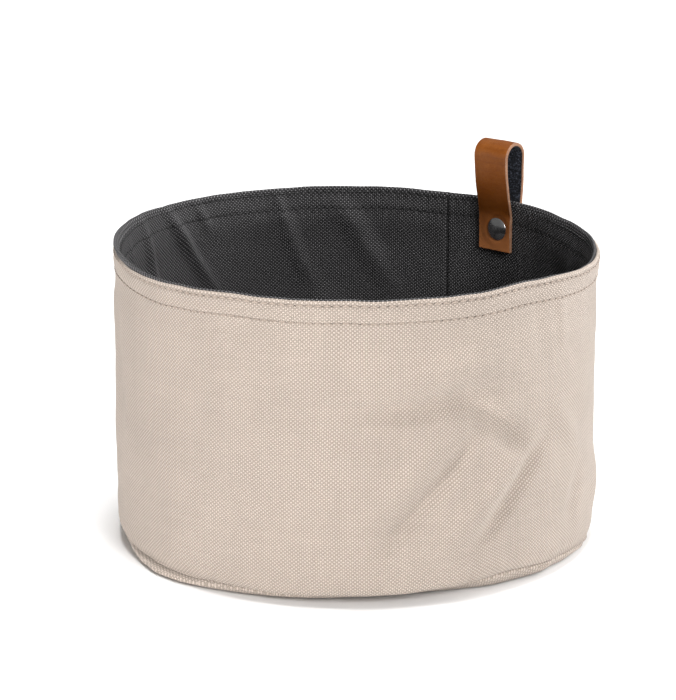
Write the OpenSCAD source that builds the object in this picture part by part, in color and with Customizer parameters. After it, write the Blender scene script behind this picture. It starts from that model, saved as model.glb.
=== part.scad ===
// Round soft fabric bin with a sewn-in lining and a riveted leather loop.
// Frame: +Z up, origin at the centre of the underside, the leather loop at +Y.

/* [Bin] */
// Outside diameter of the rim
rim_d = 250; // [230:1:320]
// Height of the rim above the floor
bin_h = 157; // [120:1:220]
// Radius of the soft corner between wall and base
corner_r = 13; // [11:1:16]
// Where the base seam lies on that corner, in degrees below level
seam_angle = 42; // [36:1:50]

/* [Fabric] */
// Thickness of one layer of the woven fabric
fabric_t = 0.9; // [0.7:0.05:1.0]
// Depth of the allowance that is turned in at the rim
hem_depth = 20; // [19:1:24]
// Width of the seam allowance at the outer base seam
base_allowance = 5; // [3:0.5:6]
// Height of the lining's floor above the ground, to its underside
lining_floor_z = 5; // [4.5:0.5:8]
// Corner radius of the lining
lining_corner_r = 20; // [18:1:24]
// Direction of the vertical side seams, in degrees from the loop towards -X
side_seam_angle = 16.5; // [14:0.5:40]
// Width of each pressed-open allowance of a side seam
side_allowance = 8; // [5:0.5:12]

/* [Stitching] */
// Thickness of the sewing thread
thread_d = 0.44; // [0.3:0.02:0.5]
// Depth of the upper row of topstitching below the rim
upper_row = 2.9; // [2.4:0.1:4]
// Depth of the lower row of topstitching below the rim
lower_row = 11.7; // [10:0.1:13]

/* [Leather loop] */
// Width of the leather strap
strap_w = 22; // [18:1:22]
// Thickness of the leather
leather_t = 1.8; // [1.4:0.1:2.2]
// Rise of the loop above the rim
loop_rise = 32; // [30:1:40]
// How far the strap's middle lies from the rivet, towards -X
strap_offset = 2; // [0:0.5:2]
// Length of each leg below the rim
leg_drop = 29; // [27:1:30]
// Gap between the outer leg and the wall that it swivels past
slip = 0.3; // [0.25:0.05:0.4]
// Stand-off of the flat inner leg from the hollow face of the lining, at its middle
inner_slip = 1.6; // [1.6:0.1:2]

/* [Rivet] */
// Depth of the rivet below the rim
rivet_drop = 16.5; // [16:0.5:17]
// Diameter of the rivet's domed caps
cap_d = 12.5; // [11:0.5:13]
// Height of the dome of a cap
cap_h = 2.4; // [2:0.1:3]
// Diameter of the rivet's post
post_d = 3.8; // [3.4:0.1:4.2]
// Radial running clearance of the leather on the post
post_fit = 0.05; // [0.02:0.01:0.1]

/* [Hidden] */
$fn = 64;

beige = [0.82, 0.76, 0.71];
charcoal = [0.20, 0.19, 0.20];
tan_leather = [0.45, 0.26, 0.14];
gunmetal = [0.24, 0.24, 0.25];

rim_r = rim_d / 2;
layer_gap = 0.1;   // air between two neighbouring layers
fold_r = (fabric_t + layer_gap) / 2;   // centre-line radius of a folded edge
rim_t = 4 * fabric_t + 3 * layer_gap;   // all four layers at the rim
inner_r = rim_r - rim_t;
lining_top = bin_h - 0.4;   // the lining's fold lies a little below the outer one
lining_r = inner_r + fabric_t;   // hidden face of the lining wall
corner_steps = 8;
short_steps = 3;   // for the last stretch of the lining's corner
fold_steps = 6;
loop_steps = 14;
lean_steps = 8;

function unit(v) = v / norm(v);
function on_arc(c, r, a) = c + r * [cos(a), sin(a)];
function arc(c, r, a0, a1, n) = [for (i = [0:n]) on_arc(c, r, a0 + (a1 - a0) * i / n)];

// Mitred normal of a path at its point i
function normal_at(p, i) =
  let (
    last = len(p) - 1,
    before = i > 0 ? unit(p[i] - p[i - 1]) : unit(p[1] - p[0]),
    after = i < last ? unit(p[i + 1] - p[i]) : before,
    middle = unit(before + after)
  ) [-middle[1], middle[0]] / (middle * after);
function side(p, d) = [for (i = [0:len(p) - 1]) p[i] + d * normal_at(p, i)];
function reversed(p) = [for (i = [len(p) - 1:-1:0]) p[i]];
// Outline of a strip of thickness t along the centre line p
function strip(p, t) = concat(side(p, t / 2), reversed(side(p, -t / 2)));
function rect(r0, r1, z0, z1) = [[r0, z0], [r1, z0], [r1, z1], [r0, z1]];

// Takes a [radius, height] outline round the bin
module around(outline) rotate_extrude() polygon(outline);

// A band that follows the round wall between two angles from the loop towards -X
module band(r0, r1, z0, z1, a0, a1) {
  rotate([0, 0, 90 + a0]) rotate_extrude(angle = a1 - a0) polygon(rect(r0, r1, z0, z1));
}

// --- the outer shell ---
seam_c = [rim_r - corner_r, corner_r];   // centre of the soft corner
seam_mid_r = corner_r - fabric_t / 2;
seam_slack = 0.03;   // half the gap between the two panels in a seam
seam_half = asin((fabric_t / 2 + seam_slack) / seam_mid_r);
inward = [-cos(seam_angle), sin(seam_angle)];   // from the seam to the corner's centre

function outer_wall_line() =
  let (
    turn = on_arc(seam_c, seam_mid_r, -seam_angle + seam_half),
    fold_c = [rim_r - fabric_t / 2 - fold_r, bin_h - fabric_t / 2 - fold_r]
  ) concat(
    [turn + base_allowance * inward],
    arc(seam_c, seam_mid_r, -seam_angle + seam_half, 0, corner_steps),
    arc(fold_c, fold_r, 0, 180, fold_steps),
    [[fold_c[0] - fold_r, bin_h - hem_depth]]
  );

function outer_base_line() =
  let (turn = on_arc(seam_c, seam_mid_r, -seam_angle - seam_half))
  concat(
    [turn + base_allowance * inward],
    arc(seam_c, seam_mid_r, -seam_angle - seam_half, -90, corner_steps),
    [[0, fabric_t / 2]]
  );

// --- the lining ---
lining_mid_r = lining_corner_r - fabric_t / 2;
lining_c = [lining_r - lining_corner_r, lining_floor_z + lining_corner_r];
lining_seam_angle = 75;
lining_allowance = 4;
lining_seam_half = asin((fabric_t / 2 + seam_slack) / lining_mid_r);
outward = [cos(lining_seam_angle), -sin(lining_seam_angle)];

function lining_wall_line() =
  let (
    turn = on_arc(lining_c, lining_mid_r, -lining_seam_angle + lining_seam_half),
    fold_c = [inner_r + fabric_t / 2 + fold_r, lining_top - fabric_t / 2 - fold_r]
  ) concat(
    [turn + lining_allowance * outward],
    arc(lining_c, lining_mid_r, -lining_seam_angle + lining_seam_half, 0, corner_steps),
    arc(fold_c, fold_r, 180, 0, fold_steps),
    [[fold_c[0] + fold_r, bin_h - hem_depth]]
  );

function lining_base_line() =
  let (turn = on_arc(lining_c, lining_mid_r, -lining_seam_angle - lining_seam_half))
  concat(
    [turn + lining_allowance * outward],
    arc(lining_c, lining_mid_r, -lining_seam_angle - lining_seam_half, -90, short_steps),
    [[0, lining_floor_z + fabric_t / 2]]
  );

// --- the stitching: every row lies sunk in a fine groove ---
thread_sink = 0.02;   // how far the thread lies below the face
thread_sides = 8;
groove_w = thread_d + 0.08;
groove_depth = thread_d + 0.06;

// Round outline of a thread with its centre at the point c
function thread_outline(c) = arc(c, thread_d / 2, 0, 360 - 360 / thread_sides, thread_sides - 1);
function thread_outside(drop) =
  thread_outline([rim_r - thread_sink - thread_d / 2, bin_h - drop]);
function thread_inside(drop) =
  thread_outline([inner_r + thread_sink + thread_d / 2, bin_h - drop]);
function groove_outside(drop) =
  rect(rim_r - groove_depth, rim_r + 1, bin_h - drop - groove_w / 2, bin_h - drop + groove_w / 2);
function groove_inside(drop) =
  rect(inner_r - 1, inner_r + groove_depth, bin_h - drop - groove_w / 2, bin_h - drop + groove_w / 2);

// --- the side seams: allowances pressed open on the hidden face ---
seam_slot = 0.4;   // half the width of the slot that the seam's thread lies in
side_top = bin_h - hem_depth - 1;
outer_side_bottom = corner_r;
lining_side_bottom = lining_floor_z + lining_corner_r;
bond = 0.05;   // how far an allowance runs into its own panel

// Angle of a length along the wall
function wall_angle(length) = length / rim_r * 180 / PI;

module pressed_open(r0, r1, z0) {
  slot = wall_angle(seam_slot);
  reach = wall_angle(side_allowance);
  band(r0, r1, z0, side_top, side_seam_angle + slot, side_seam_angle + reach);
  band(r0, r1, z0, side_top, side_seam_angle - reach, side_seam_angle - slot);
}

module side_seam_thread(r, z0) {
  rotate([0, 0, side_seam_angle])
    translate([0, r, z0])
      cylinder(h = side_top - z0, d = thread_d);
}

// --- the rivet ---
rivet_z = bin_h - rivet_drop;
cap_gap = 0.1;   // between a cap and the leather that turns under it
fabric_hole_d = post_d + 0.1;
leg_in_y = inner_r - inner_slip - leather_t;   // face of the inner leg, towards the middle
leg_out_y = rim_r + slip + leather_t;   // face of the outer leg
cap_in_y = leg_in_y - cap_gap;
cap_out_y = leg_out_y + cap_gap;
socket_depth = 1.2;
post_play = 0.02;
cap_rim = 0.5;   // straight edge of a cap below its dome
dome_rise = cap_h - cap_rim;
dome_r = (pow(cap_d / 2, 2) + pow(dome_rise, 2)) / (2 * dome_rise);
dome_angle = asin(cap_d / 2 / dome_r);

// Lays something built along +Z along +Y instead, on the rivet's axis
module on_rivet_axis(y) {
  translate([0, y, rivet_z]) rotate([-90, 0, 0]) children();
}

// Half outline of a cap, which stands on z = 0
function cap_outline() = concat(
  [[0, 0], [cap_d / 2, 0]],
  arc([0, cap_h - dome_r], dome_r, 90 - dome_angle, 90, corner_steps)
);

// --- the leather loop: the centre line of the strap in the plane across the wall ---
strap_in_y = leg_in_y + leather_t / 2;
strap_out_y = leg_out_y - leather_t / 2;
lean_in = 4.8;    // how far the inner leg leans towards the middle at the top
lean_out = 2.4;   // how far the outer leg leans away at the top
lean_from = bin_h - 9;   // the legs lie flat on the wall up to here, under the caps
loop_r = (strap_out_y + lean_out - strap_in_y + lean_in) / 2;
loop_c = [
  (strap_out_y + lean_out + strap_in_y - lean_in) / 2,
  bin_h + loop_rise - leather_t / 2 - loop_r
];

ease_in = 1.1;    // how gently the inner leg starts to lean
ease_out = 0.8;   // the same for the outer leg, which starts sooner

// One leaning leg from its flat part (share 0) up to the bend (share 1)
function lean_point(y, lean, ease, share) =
  [y + lean * pow(sin(90 * share), ease), lean_from + share * (loop_c[1] - lean_from)];
function leg_in_line() =
  [for (i = [0:lean_steps - 1]) lean_point(strap_in_y, -lean_in, ease_in, i / lean_steps)];
function leg_out_line() =
  [for (i = [lean_steps - 1:-1:0]) lean_point(strap_out_y, lean_out, ease_out, i / lean_steps)];
function strap_line() = concat(
  [[strap_in_y, bin_h - leg_drop]],
  leg_in_line(),
  arc(loop_c, loop_r, 180, 0, loop_steps),
  leg_out_line(),
  [[strap_out_y, bin_h - leg_drop]]
);

// --- the pieces ---
module outer_wall() color(beige)
  difference() {
    union() {
      around(strip(outer_wall_line(), fabric_t));
      pressed_open(rim_r - 2 * fabric_t, rim_r - fabric_t + bond, outer_side_bottom);
    }
    around(groove_outside(upper_row));
    around(groove_outside(lower_row));
    on_rivet_axis(inner_r) cylinder(h = 2 * rim_t, d = fabric_hole_d);
  }

module outer_base() color(beige)
  around(strip(outer_base_line(), fabric_t));

module lining_wall() color(charcoal)
  difference() {
    union() {
      around(strip(lining_wall_line(), fabric_t));
      pressed_open(lining_r - bond, lining_r + fabric_t, lining_side_bottom);
    }
    around(groove_inside(upper_row));
    around(groove_inside(lower_row));
    on_rivet_axis(inner_r - rim_t) cylinder(h = 2 * rim_t, d = fabric_hole_d);
  }

module lining_base() color(charcoal)
  around(strip(lining_base_line(), fabric_t));

module upper_thread_outside() color(beige) around(thread_outside(upper_row));
module upper_thread_inside() color(charcoal) around(thread_inside(upper_row));
module lower_thread_outside() color(beige) around(thread_outside(lower_row));
module lower_thread_inside() color(charcoal) around(thread_inside(lower_row));

module outer_side_seam_thread() color(beige)
  side_seam_thread(rim_r - fabric_t - thread_d, outer_side_bottom);

module lining_side_seam_thread() color(charcoal)
  side_seam_thread(lining_r + thread_d, lining_side_bottom);

// The base seams' threads lie on the wall's allowance, just past the seam.
thread_lift = fabric_t + seam_slack + thread_sink + thread_d / 2;

module outer_base_seam_thread() color(beige)
  around(thread_outline(
    on_arc(seam_c, corner_r - 2.5, -seam_angle) + thread_lift * [sin(seam_angle), cos(seam_angle)]
  ));

module lining_base_seam_thread() color(charcoal)
  around(thread_outline(
    on_arc(lining_c, lining_corner_r + 1.4, -lining_seam_angle)
      + thread_lift * [sin(lining_seam_angle), cos(lining_seam_angle)]
  ));

module leather_loop() color(tan_leather)
  difference() {
    rotate([90, 0, 90])
      translate([0, 0, -strap_w / 2 - strap_offset])
        linear_extrude(strap_w) polygon(strip(strap_line(), leather_t));
    on_rivet_axis(leg_in_y - 1)
      cylinder(h = leg_out_y - leg_in_y + 2, d = post_d + 2 * post_fit);
  }

module rivet_post_cap() color(gunmetal) {
  post_end = cap_out_y + socket_depth - cap_gap;
  on_rivet_axis(cap_in_y) cylinder(h = post_end - cap_in_y, d = post_d);
  on_rivet_axis(cap_in_y) mirror([0, 0, 1]) rotate_extrude() polygon(cap_outline());
}

module rivet_socket_cap() color(gunmetal)
  difference() {
    on_rivet_axis(cap_out_y) rotate_extrude() polygon(cap_outline());
    on_rivet_axis(cap_out_y - 1) cylinder(h = 1 + socket_depth, d = post_d + 2 * post_play);
  }

outer_wall();
outer_base();
lining_wall();
lining_base();
upper_thread_outside();
upper_thread_inside();
lower_thread_outside();
lower_thread_inside();
outer_side_seam_thread();
lining_side_seam_thread();
outer_base_seam_thread();
lining_base_seam_thread();
leather_loop();
rivet_post_cap();
rivet_socket_cap();
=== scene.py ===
"""The looks of the round fabric bin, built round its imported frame.

Lengths are metres. Feature tables are in millimetres and degrees. Angles round the bin are
measured from its front, the side that faces the camera, and grow towards the camera's right.
"""
import math

import bpy
import numpy as np
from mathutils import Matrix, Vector


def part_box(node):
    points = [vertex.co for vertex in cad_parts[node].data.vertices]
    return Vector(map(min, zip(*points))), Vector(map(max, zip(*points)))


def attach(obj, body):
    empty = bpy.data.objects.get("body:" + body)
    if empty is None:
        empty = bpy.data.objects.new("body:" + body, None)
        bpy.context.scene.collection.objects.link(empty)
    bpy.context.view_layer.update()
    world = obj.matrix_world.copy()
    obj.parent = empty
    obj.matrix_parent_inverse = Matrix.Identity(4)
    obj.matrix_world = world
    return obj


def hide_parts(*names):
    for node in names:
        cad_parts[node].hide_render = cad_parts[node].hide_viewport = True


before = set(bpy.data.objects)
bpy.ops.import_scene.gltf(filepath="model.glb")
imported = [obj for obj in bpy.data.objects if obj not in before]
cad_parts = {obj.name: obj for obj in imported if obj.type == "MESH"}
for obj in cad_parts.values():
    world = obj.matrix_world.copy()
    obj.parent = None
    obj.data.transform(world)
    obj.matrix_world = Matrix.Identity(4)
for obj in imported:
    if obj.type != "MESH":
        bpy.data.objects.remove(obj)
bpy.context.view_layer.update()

MM = 0.001


# --- sizes and places, from the frame ---
def middle(node):
    low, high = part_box(node)
    return (low + high) / 2


FABRIC = 0.9 * MM
GAP = 0.1 * MM   # air between two layers
RIM_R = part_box("outer_wall")[1].x
RIM_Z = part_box("outer_wall")[1].z
LINING_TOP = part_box("lining_wall")[1].z
INNER_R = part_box("lining_wall")[1].x - 2 * FABRIC - GAP   # visible face of the lining
ROWS = [middle("upper_thread_outside").z, middle("lower_thread_outside").z]
ROW_PULLS = [1.1, 0.8]   # how tightly each row of stitches is drawn
HEM_DEPTH = 20 * MM
LINING_FLOOR = 5 * MM
CORNER_R = 13 * MM
LINING_CORNER_R = 20 * MM
SEAM_DROP = math.radians(42)   # where the base seam lies on the outer corner, below level
LINING_SEAM_DROP = math.radians(75)
PITCH = 4.5 * MM   # length of one stitch
THREAD_R = 0.27 * MM
WARP_PITCH = 1.12 * MM   # from one upright yarn to the next
WEFT_PITCH = 0.95 * MM

AZIMUTH = math.radians(41.5)   # the camera's direction round the bin
RIGHT = Vector((math.cos(AZIMUTH), math.sin(AZIMUTH), 0))
FRONT = Vector((math.sin(AZIMUTH), -math.cos(AZIMUTH), 0))
LOOP_AT = math.pi - AZIMUTH
seam_thread = middle("outer_side_seam_thread")
SEAM_AT = LOOP_AT + math.atan2(-seam_thread.x, seam_thread.y)

# --- the bin's uneven shape: (angle in degrees, reach in degrees, size in mm) ---
# How far the rim stands up; below 0 it dips
RIM_RISES = [
    (-53, 26, -2.2), (44, 20, 0.6), (86, 44, -4.2), (118, 34, -1.9),
    (155, 20, -1.4), (182, 26, -0.7), (-125, 36, 1.0), (-92, 26, -0.5),
]
# How far the rim leans out
RIM_FLARES = [(90, 46, 1.5), (-90, 40, -0.6), (44, 20, -1.3), (180, 26, 0.6)]
# How far the cloth just above the floor is drawn in; below 0 it stands out
BASE_TUCKS = [
    (12, 38, 8.5), (-52, 37, -8.5), (74, 32, -4.6),
    (180, 60, 4.0), (126, 24, 3.0), (-110, 26, 3.0),
]
# How far the base seam is lifted off its level line
SEAM_LIFTS = [
    (41, 17, 4.4), (22, 22, 1.4), (58, 14, 1.6), (86, 26, -2.6),
    (-62, 18, 0.7), (128, 26, 2.2), (-120, 24, 1.8), (180, 30, 1.4),
]
# How far the strip under that seam stands out
STRIP_BULGES = [(36, 12, 2.6), (50, 9, 2.0), (-52, 18, 0.6), (-118, 16, 1.0), (140, 18, 1.3)]
# How far the lining's edge rolls over the outer one: 0 not at all, 1 fully
EVEN_ROLL = 0.75
# Changes to that share, which have no unit: (angle, reach, change)
ROLLS = [(-88, 48, 2.0), (72, 32, -0.85), (30, 30, -0.15), (112, 28, 0.8)]

# Folds that both layers share: (from angle, height, to angle, height, reach in mm, depth in mm)
FOLDS = [
    (2, 99, 30, 107, 8, -3.8),
    (25, 103, 42, 73, 8, -3.8),
    (8, 114, 34, 121, 10, 1.8),
    (27, 83, 7, 32, 6, -3.4),
    (19, 85, -1, 34, 8, 2.0),
    (48, 74, 30, 30, 6, -3.4),
    (40, 71, 21, 30, 9, 2.0),
    (52, 92, 64, 62, 8, 1.8),
    (66, 50, 60, 22, 9, -1.9),
    (94, 34, 76, 30, 14, 1.8),
    (54, 152, 56, 118, 5, 0.9),
    (46, 150, 47, 118, 7, -0.8),
    (-78, 132, -74, 60, 10, -1.2),
    (-40, 60, -18, 30, 14, -1.0),
    (110, 120, 96, 50, 12, -2.2),
    (128, 88, 112, 36, 10, 1.4),
    (-128, 118, -140, 46, 12, -2.0),
    (-170, 96, 170, 52, 11, -1.9),
    (-104, 70, -88, 28, 10, -1.6),
    (152, 70, 160, 30, 9, -1.5),
]
# Folds of the lining alone; they stand in, towards the middle
LINING_FOLDS = [
    (-124, 153, -141, 104, 4.5, -3.4),
    (-112, 150, -122, 96, 4.5, -2.7),
    (-101, 146, -106, 96, 4.5, -2.3),
    (-135, 154, -139, 138, 4, -1.4),
    (-160, 153, -161, 138, 3.5, -1.6),
    (-161, 141, -168, 104, 6, -2.8),
    (-176, 149, 171, 104, 8, -2.6),
    (60, 120, 52, 60, 10, -1.6),
    (-40, 110, -30, 50, 12, -1.8),
    (10, 125, 24, 60, 10, -1.5),
    (106, 148, 114, 60, 7, -1.5),
    (122, 138, 117, 70, 7, -1.3),
]
FOLD_WIDTH = 1.6   # how far a fold's soft sides reach, over its stated reach
FOLD_EDGE = 1.5   # above 1, a fold is sharper in the middle than at its sides

# Uneven waves of the wall, in mm: (seed, shortest wave, longest wave, size, full from this height)
WALL_WAVES = [(3, 45, 110, 0.32, 30), (4, 12, 30, 0.10, 20)]
RIM_WAVE = 0.22 * MM   # ups and downs of the rim
SEAM_WAVE = 0.35 * MM   # ups and downs of the base seam
HEM_PULL = 1.0 * MM   # the wall is drawn in round the hem's lower edge
FRONT_TUCK = 1.3 * MM   # the front narrows towards the floor
PUCKER = 0.45 * MM   # hollows just above the base seam
CRUMPLE = 0.22 * MM   # unevenness of the strip under it


def wrap(angle):
    return (angle + np.pi) % (2 * np.pi) - np.pi


def hump(distance, reach):
    """A smooth bump: 1 at distance 0, and 0 from reach on."""
    return 0.5 + 0.5 * np.cos(np.pi * np.clip(np.abs(distance) / reach, 0, 1))


def ramp(x, low, high):
    """A smooth step from 0 at low to 1 at high."""
    share = np.clip((x - low) / (high - low), 0, 1)
    return share * share * (3 - 2 * share)


def spread(phi, features):
    """Adds up humps round the bin."""
    total = 0
    for centre, reach, size in features:
        total = total + size * MM * hump(wrap(phi - math.radians(centre)), math.radians(reach))
    return total


def ripple(phi, z, seed, shortest, longest, count=18):
    """Gentle waves of random lengths that close round the bin."""
    draw = np.random.default_rng(seed)
    total = 0
    for _ in range(count):
        length = draw.uniform(shortest, longest)
        lean = draw.uniform(0, np.pi)
        turns = round(2 * np.pi * RIM_R / length * math.cos(lean))
        start = draw.uniform(0, 2 * np.pi)
        total = total + np.sin(turns * phi + 2 * np.pi * math.sin(lean) * z / length + start)
    return total / math.sqrt(count)


def fold(phi, z, crease):
    """A soft crease along a straight stretch of the wall, fading out at both ends."""
    from_angle, from_z, to_angle, to_z, reach, depth = crease
    span = wrap(math.radians(to_angle - from_angle))
    end = np.array([span * RIM_R, (to_z - from_z) * MM])
    length = np.linalg.norm(end)
    end = end / length
    x = wrap(phi - math.radians(from_angle) - span / 2) * RIM_R + span * RIM_R / 2
    y = z - from_z * MM
    along = (x * end[0] + y * end[1]) / length
    across = x * end[1] - y * end[0]
    fade = ramp(along, -0.25, 0.3) * (1 - ramp(along, 0.7, 1.25))
    return depth * MM * fade * hump(across, reach * MM * FOLD_WIDTH) ** FOLD_EDGE


def held_flat(phi, z):
    """How much the riveted loop holds the cloth flat: 1 beside it, and 0 away from it or low down."""
    away = ramp(np.abs(wrap(phi - LOOP_AT)), math.radians(9), math.radians(27))
    return (1 - away) * ramp(z, RIM_Z - 60 * MM, RIM_Z - 32 * MM)


def wall_shape(phi, z, lining):
    """How far the wall leans, waves and folds out of its plain round shape."""
    out = spread(phi, RIM_FLARES) * ramp(z, RIM_Z - 30 * MM, RIM_Z)
    out = out - HEM_PULL * hump(z - (RIM_Z - 17 * MM), 14 * MM)
    for seed, shortest, longest, size, full_z in WALL_WAVES:
        wave = ripple(phi, z, seed, shortest * MM, longest * MM)
        out = out + size * MM * wave * ramp(z, 4 * MM, full_z * MM)
    for crease in FOLDS + (LINING_FOLDS if lining else []):
        out = out + fold(phi, z, crease)
    return out * (1 - held_flat(phi, z))


def add_base_shape(phi, z, out, up):
    """Adds what the outer cloth does near the floor to its shifts out and up."""
    out = out - spread(phi, BASE_TUCKS) * (1 - ramp(z, 0, 6.5 * MM))
    out = out - FRONT_TUCK * ramp(np.cos(phi), 0.6, 0.9) * (1 - ramp(z, 4 * MM, 26 * MM))
    puckers = np.clip(ripple(phi, 0 * z, 6, 9 * MM, 22 * MM), 0, 2)
    out = out - PUCKER * puckers * hump(z - 9 * MM, 8 * MM)
    out = out + spread(phi, STRIP_BULGES) * hump(z - 2.4 * MM, 3.4 * MM)
    crumples = ripple(phi, z, 7, 9 * MM, 26 * MM)
    out = out + CRUMPLE * crumples * hump(z - 3 * MM, 6 * MM)
    lift = spread(phi, SEAM_LIFTS) * ramp(z, 0.2 * MM, 4 * MM) * (1 - ramp(z, 8 * MM, 46 * MM))
    up = up + lift
    up = up + SEAM_WAVE * ripple(phi, 0 * z, 8, 20 * MM, 70 * MM) * hump(z - 5 * MM, 5 * MM)
    return out, up


def place(phi, r, z, lining=False):
    """Where a point of the plain round bin lies on the real, uneven one."""
    out = wall_shape(phi, z, lining)
    up = spread(phi, RIM_RISES) * ramp(z, 0.35 * RIM_Z, 0.96 * RIM_Z)
    up = up + RIM_WAVE * ripple(phi, 0 * z, 5, 18 * MM, 60 * MM) * ramp(z, 0.7 * RIM_Z, RIM_Z)
    if not lining:
        out, up = add_base_shape(phi, z, out, up)
    at_wall = ramp(r, 0.55 * RIM_R, 0.9 * RIM_R)
    r = r + out * at_wall
    z = z + up * at_wall
    x = r * np.sin(phi)
    y = r * np.cos(phi)
    return np.stack([x * RIGHT.x + y * FRONT.x, x * RIGHT.y + y * FRONT.y, z + 0 * x], -1)


# --- outlines of the cloth panels, as centre lines of (radius, height) ---
def unit(v):
    return v / np.linalg.norm(v)


def on_arc(centre, radius, angle):
    return np.array(centre) + radius * np.array([math.cos(angle), math.sin(angle)])


def arc(centre, radius, start, end, steps):
    return [on_arc(centre, radius, start + (end - start) * i / steps) for i in range(steps + 1)]


def straight(start, end, step):
    """Points after start, up to and with end, about a step apart."""
    count = max(1, round(float(np.linalg.norm(np.array(end) - start)) / step))
    return [np.array(start) + (np.array(end) - start) * i / count for i in range(1, count + 1)]


def rounded_turn(corner, before, after, radius, steps=5):
    """Points of a small round bend in place of a right-angled corner."""
    centre = corner - before * radius + after * radius
    points = []
    for i in range(steps + 1):
        angle = math.pi / 2 * i / steps
        points.append(centre - after * radius * math.cos(angle) + before * radius * math.sin(angle))
    return points


def offset_line(line, distance):
    """The line moved sideways, to the left of its direction."""
    line = np.array(line)
    ahead = np.gradient(line, axis=0)
    ahead = ahead / np.linalg.norm(ahead, axis=1, keepdims=True)
    return line + distance * np.stack([-ahead[:, 1], ahead[:, 0]], -1)


WALL_STEP = 1.35 * MM   # between the rows of points up a wall
CLOSE_ROWS = [-1.5, -0.95, -0.55, -0.25, 0, 0.25, 0.55, 0.95, 1.5]   # in mm, from a row of stitches


def wall_heights(low, high):
    """Heights for the rows of a wall: even ones, and close ones round each row of stitches."""
    heights = list(np.arange(low + 1.3 * MM, high, WALL_STEP))
    for row in ROWS:
        heights = [z for z in heights if abs(z - row) > 1.6 * MM]
        heights += [row + k * MM for k in CLOSE_ROWS]
    return sorted(z for z in heights if z < high)


SEAM_SLACK = 0.03 * MM   # half the gap between the two panels in a seam


def seam_start(centre, radius, seam_drop, towards_seam, allowance, bend):
    """The turned-in seam allowance and its round bend into the panel's corner."""
    seam = on_arc(centre, radius, -seam_drop)
    outward = unit(seam - np.array(centre))
    along = np.array([-outward[1], outward[0]]) * towards_seam
    seam = seam + along * (FABRIC / 2 + SEAM_SLACK)
    return [seam - allowance * outward] + rounded_turn(seam, outward, along, bend)


CORNER = (RIM_R - CORNER_R, CORNER_R)
MID_R = CORNER_R - FABRIC / 2
FOLD_R = (FABRIC + GAP) / 2
BEND = 0.9 * MM   # radius of the turn into a seam allowance
ALLOWANCE = 3.4 * MM
LINING_ALLOWANCE = 2.4 * MM


def outer_wall_line():
    line = seam_start(CORNER, MID_R, SEAM_DROP, 1, ALLOWANCE, BEND)
    first = -SEAM_DROP + (BEND + FABRIC) / MID_R
    line += arc(CORNER, MID_R, first, 0, 12)
    fold_centre = (RIM_R - FABRIC / 2 - FOLD_R, RIM_Z - FABRIC / 2 - FOLD_R)
    top = fold_centre[1] - 0.2 * MM
    line += [np.array([RIM_R - FABRIC / 2, z]) for z in wall_heights(CORNER_R, top)]
    line += arc(fold_centre, FOLD_R, 0, math.pi, 8)
    hem_end = np.array([fold_centre[0] - FOLD_R, RIM_Z - HEM_DEPTH])
    return line + straight(line[-1], hem_end, 4 * MM)


def outer_base_line():
    line = seam_start(CORNER, MID_R, SEAM_DROP, -1, ALLOWANCE, BEND)
    first = -SEAM_DROP - (BEND + FABRIC) / MID_R
    line += arc(CORNER, MID_R, first, -math.pi / 2, 10)
    return line + straight(line[-1], np.array([3 * MM, FABRIC / 2]), 6 * MM)


LINING_CORNER = (INNER_R + FABRIC - LINING_CORNER_R, LINING_FLOOR + LINING_CORNER_R)
LINING_MID_R = LINING_CORNER_R - FABRIC / 2


def lining_seam(towards_seam):
    """The lining's seam allowance lies below the lining, out of sight."""
    centre = np.array(LINING_CORNER)
    seam = on_arc(centre, LINING_MID_R, -LINING_SEAM_DROP)
    outward = unit(seam - centre)
    along = np.array([-outward[1], outward[0]]) * towards_seam
    seam = seam + along * (FABRIC / 2 + SEAM_SLACK)
    return [seam + LINING_ALLOWANCE * outward] + rounded_turn(seam, -outward, along, BEND)


def lining_wall_line():
    line = lining_seam(1)
    first = -LINING_SEAM_DROP + (BEND + FABRIC) / LINING_MID_R
    line += arc(LINING_CORNER, LINING_MID_R, first, 0, 18)
    fold_centre = (INNER_R + FABRIC / 2 + FOLD_R, LINING_TOP - FABRIC / 2 - FOLD_R)
    top = fold_centre[1] - 0.2 * MM
    line += [np.array([INNER_R + FABRIC / 2, z]) for z in wall_heights(LINING_CORNER[1], top)]
    line += arc(fold_centre, FOLD_R, math.pi, 0, 8)
    hem_end = np.array([fold_centre[0] + FOLD_R, RIM_Z - HEM_DEPTH])
    return line + straight(line[-1], hem_end, 4 * MM)


def lining_base_line():
    line = lining_seam(-1)
    first = -LINING_SEAM_DROP - (BEND + FABRIC) / LINING_MID_R
    line += arc(LINING_CORNER, LINING_MID_R, first, -math.pi / 2, 4)
    return line + straight(line[-1], np.array([3 * MM, LINING_FLOOR + FABRIC / 2]), 5 * MM)


# --- meshes ---
def add_mesh(name, points, faces, material, smooth=True):
    mesh = bpy.data.meshes.new(name)
    mesh.from_pydata(np.asarray(points).reshape(-1, 3).tolist(), [], faces)
    mesh.polygons.foreach_set("use_smooth", [smooth] * len(mesh.polygons))
    mesh.update()
    piece = bpy.data.objects.new(name, mesh)
    bpy.context.scene.collection.objects.link(piece)
    piece.data.materials.append(material)
    return piece


def store_cloth_place(piece, corners):
    """Keeps each face corner's place on the flat cloth, for the weave: along, up and spare."""
    attribute = piece.data.attributes.new("cloth", "FLOAT_VECTOR", "CORNER")
    attribute.data.foreach_set("vector", np.asarray(corners, np.float32).ravel())


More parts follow.
